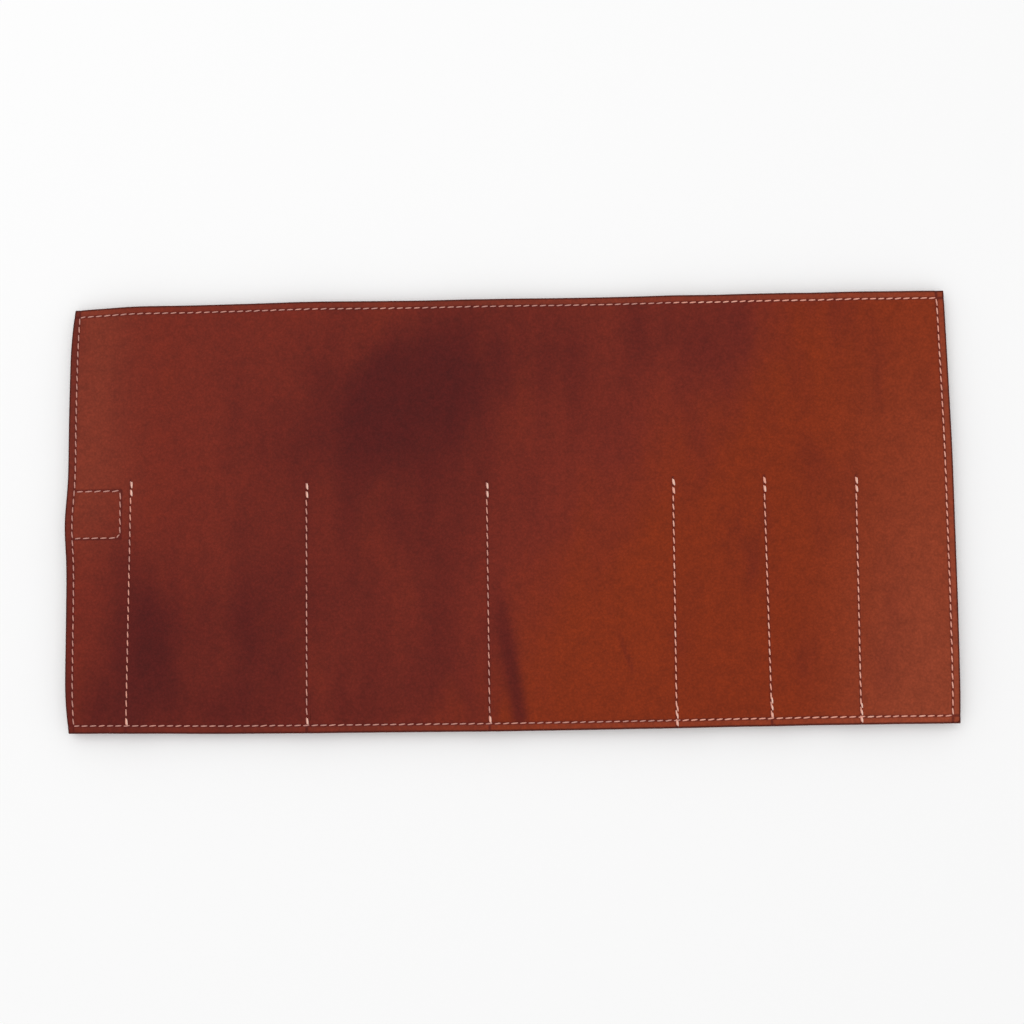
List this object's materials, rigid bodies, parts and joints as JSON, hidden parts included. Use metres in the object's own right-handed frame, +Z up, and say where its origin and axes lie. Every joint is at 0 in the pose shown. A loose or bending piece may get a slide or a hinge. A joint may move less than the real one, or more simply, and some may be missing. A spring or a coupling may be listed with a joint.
{
  "type": "watch roll",
  "caption": "Flat leather roll with bellied watch and tool pockets on its inside, a fold-in cover flap and a magnetic closing margin.",
  "frame": {"origin": "bottom centre of the open roll's box, on the surface that it lies on", "axes": "+X along the roll towards the tool pockets, +Y towards the flap's free edge, +Z up out of the plain outside face"},
  "size_m": [0.4724, 0.228, 0.009],
  "materials": {
    "outer_leather": "waxed pull-up leather, satin",
    "lining_leather": "suede-like flesh side, matt",
    "pocket_leather": "waxed pull-up leather, satin",
    "thread": "waxed cream thread",
    "magnet": "nickel plated",
    "keeper_steel": "plain steel"
  },
  "bodies": {
    "margin": {"outer_margin": "outer_leather", "lining_margin": "lining_leather", "thread_margin": "thread", "margin_facing": "pocket_leather", "closure_patch": "pocket_leather", "closure_magnet": "magnet", "box_thread": "thread"},
    "margin_flap": {"flap_outer_margin": "outer_leather", "flap_lining_margin": "lining_leather", "flap_thread_margin": "thread"},
    "watch_1": {"outer_watch_1": "outer_leather", "lining_watch_1": "lining_leather", "thread_watch_1": "thread", "pocket_watch_1": "pocket_leather"},
    "watch_1_flap": {"flap_outer_watch_1": "outer_leather", "flap_lining_watch_1": "lining_leather", "flap_thread_watch_1": "thread"},
    "watch_2": {"outer_watch_2": "outer_leather", "lining_watch_2": "lining_leather", "thread_watch_2": "thread", "pocket_watch_2": "pocket_leather"},
    "watch_2_flap": {"flap_outer_watch_2": "outer_leather", "flap_lining_watch_2": "lining_leather", "flap_thread_watch_2": "thread"},
    "watch_3": {"outer_watch_3": "outer_leather", "lining_watch_3": "lining_leather", "thread_watch_3": "thread", "pocket_watch_3": "pocket_leather"},
    "watch_3_flap": {"flap_outer_watch_3": "outer_leather", "flap_lining_watch_3": "lining_leather", "flap_thread_watch_3": "thread"},
    "tool_1": {"outer_tool_1": "outer_leather", "lining_tool_1": "lining_leather", "thread_tool_1": "thread", "pocket_tool_1": "pocket_leather", "keeper_plate": "keeper_steel"},
    "tool_1_flap": {"flap_outer_tool_1": "outer_leather", "flap_lining_tool_1": "lining_leather", "flap_thread_tool_1": "thread"},
    "tool_2": {"outer_tool_2": "outer_leather", "lining_tool_2": "lining_leather", "thread_tool_2": "thread", "pocket_tool_2": "pocket_leather"},
    "tool_2_flap": {"flap_outer_tool_2": "outer_leather", "flap_lining_tool_2": "lining_leather", "flap_thread_tool_2": "thread"},
    "tool_3": {"outer_tool_3": "outer_leather", "lining_tool_3": "lining_leather", "thread_tool_3": "thread", "pocket_tool_3": "pocket_leather"},
    "tool_3_flap": {"flap_outer_tool_3": "outer_leather", "flap_lining_tool_3": "lining_leather", "flap_thread_tool_3": "thread"}
  },
  "joints": [
    {"name": "fold_1", "type": "hinge", "parent": "watch_1", "child": "margin", "pos_m": [-0.20065, 0, 0.005], "axis": [0, -1, 0], "range_deg": [0, 88]},
    {"name": "fold_2", "type": "hinge", "parent": "watch_1", "child": "watch_2", "pos_m": [-0.10435, 0, 0.005], "axis": [0, 1, 0], "range_deg": [0, 90]},
    {"name": "fold_3", "type": "hinge", "parent": "watch_2", "child": "watch_3", "pos_m": [-0.00715, 0, 0.005], "axis": [0, 1, 0], "range_deg": [0, 114]},
    {"name": "fold_4", "type": "hinge", "parent": "watch_3", "child": "tool_1", "pos_m": [0.09185, 0, 0.005], "axis": [0, 1, 0], "range_deg": [0, 66]},
    {"name": "fold_5", "type": "hinge", "parent": "tool_1", "child": "tool_2", "pos_m": [0.14085, 0, 0.005], "axis": [0, 1, 0], "range_deg": [0, 102]},
    {"name": "fold_6", "type": "hinge", "parent": "tool_2", "child": "tool_3", "pos_m": [0.18835, 0, 0.005], "axis": [0, 1, 0], "range_deg": [0, 70]},
    {"name": "flap_fold", "type": "hinge", "parent": "watch_1", "child": "watch_1_flap", "pos_m": [-0.1525, 0.022, 0.0029], "axis": [1, 0, 0], "range_deg": [-172, 0]},
    {"name": "flap_fold_margin", "type": "hinge", "parent": "margin", "child": "margin_flap", "pos_m": [-0.21845, 0.022, 0.0029], "axis": [1, 0, 0], "range_deg": [-172, 0]},
    {"name": "flap_fold_watch_2", "type": "hinge", "parent": "watch_2", "child": "watch_2_flap", "pos_m": [-0.05575, 0.022, 0.0029], "axis": [1, 0, 0], "range_deg": [-172, 0]},
    {"name": "flap_fold_watch_3", "type": "hinge", "parent": "watch_3", "child": "watch_3_flap", "pos_m": [0.04235, 0.022, 0.0029], "axis": [1, 0, 0], "range_deg": [-172, 0]},
    {"name": "flap_fold_tool_1", "type": "hinge", "parent": "tool_1", "child": "tool_1_flap", "pos_m": [0.11635, 0.022, 0.0029], "axis": [1, 0, 0], "range_deg": [-172, 0]},
    {"name": "flap_fold_tool_2", "type": "hinge", "parent": "tool_2", "child": "tool_2_flap", "pos_m": [0.1646, 0.022, 0.0029], "axis": [1, 0, 0], "range_deg": [-172, 0]},
    {"name": "flap_fold_tool_3", "type": "hinge", "parent": "tool_3", "child": "tool_3_flap", "pos_m": [0.2123, 0.022, 0.0029], "axis": [1, 0, 0], "range_deg": [-172, 0]}
  ],
  "couplings": [
    {"joint": "flap_fold_margin", "follows": "flap_fold", "ratio": 1},
    {"joint": "flap_fold_watch_2", "follows": "flap_fold", "ratio": 1},
    {"joint": "flap_fold_watch_3", "follows": "flap_fold", "ratio": 1},
    {"joint": "flap_fold_tool_1", "follows": "flap_fold", "ratio": 1},
    {"joint": "flap_fold_tool_2", "follows": "flap_fold", "ratio": 1},
    {"joint": "flap_fold_tool_3", "follows": "flap_fold", "ratio": 1}
  ]
}
